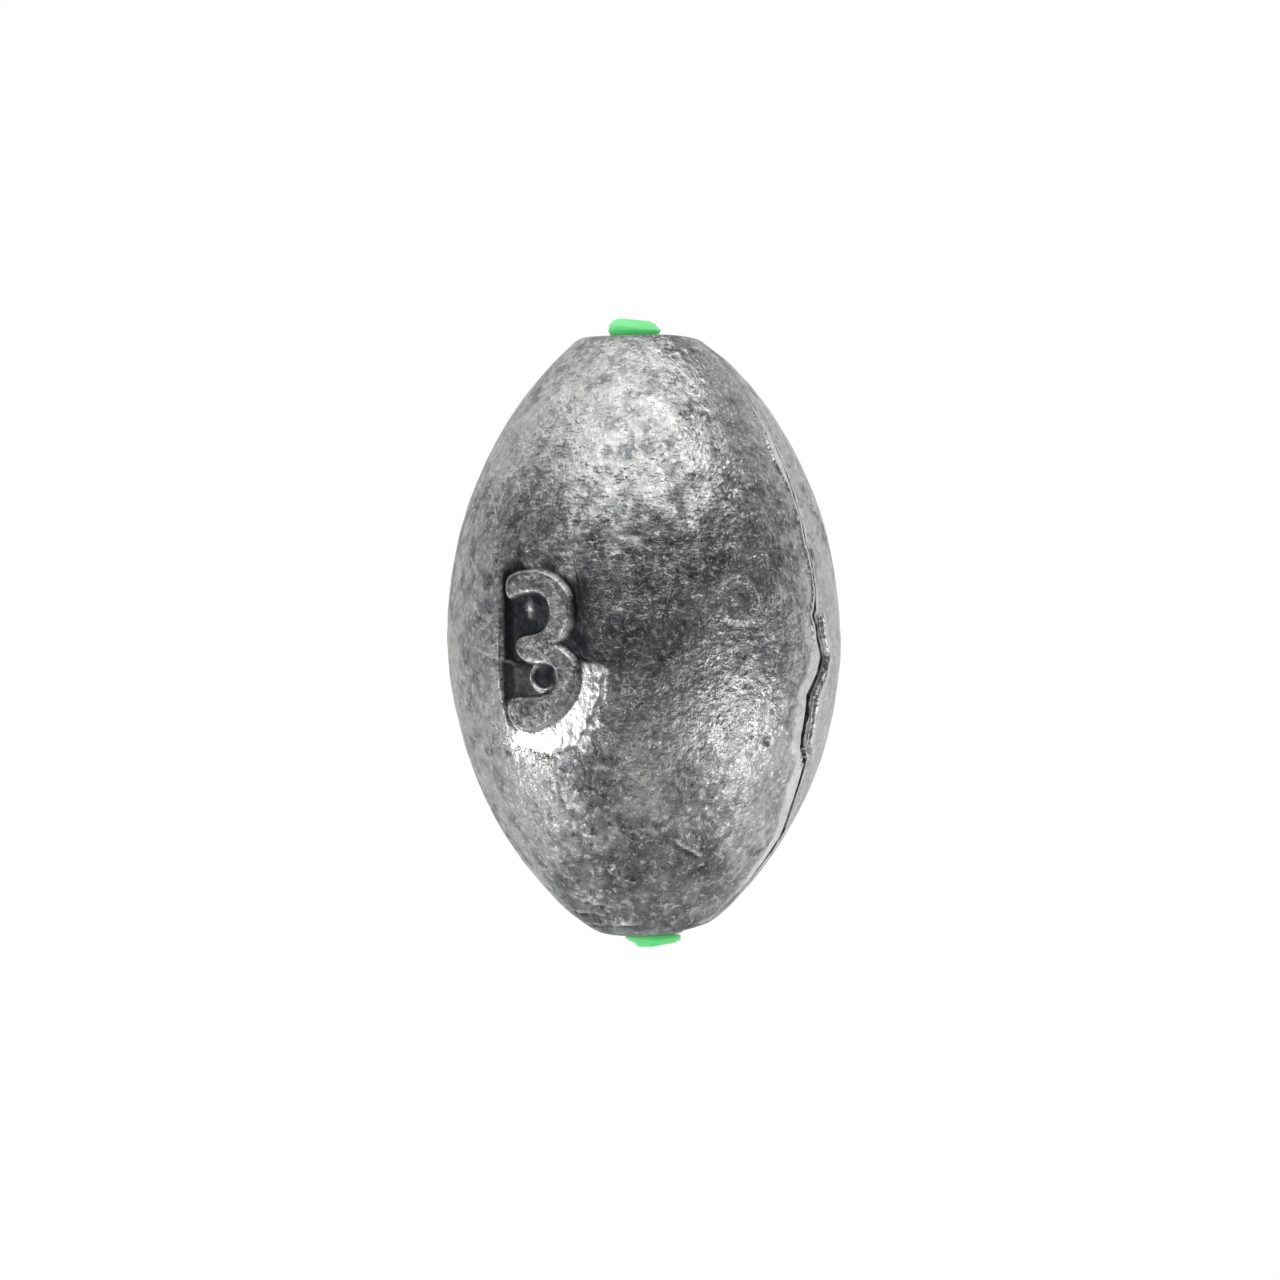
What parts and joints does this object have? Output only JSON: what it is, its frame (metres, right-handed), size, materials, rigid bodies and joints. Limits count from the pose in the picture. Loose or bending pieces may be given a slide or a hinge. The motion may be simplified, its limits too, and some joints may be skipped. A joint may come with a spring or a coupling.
{
  "type": "fishing sinker",
  "caption": "Egg-shaped cast lead sinker for sliding on a line, with a flared plastic sleeve in its line hole and a raised weight numeral.",
  "frame": {"origin": "on the axis of the line bore, at mid length of the casting", "axes": "+Z along the line bore, towards the end with the rolled lip; the mould's parting plane is XZ, the gate scar is on the +X side and the raised numeral faces -Y"},
  "size_m": [0.0218, 0.0214, 0.0342],
  "materials": {
    "lead": "satin",
    "sleeve_plastic": "satin"
  },
  "bodies": {
    "casting": {"cast_body": "lead"},
    "sleeve": {"liner_sleeve": "sleeve_plastic"}
  },
  "joints": [
    {"name": "sleeve_spin", "type": "hinge", "parent": "casting", "child": "sleeve", "pos_m": [0, 0, 0], "axis": [0, 0, 1], "continuous": true}
  ]
}
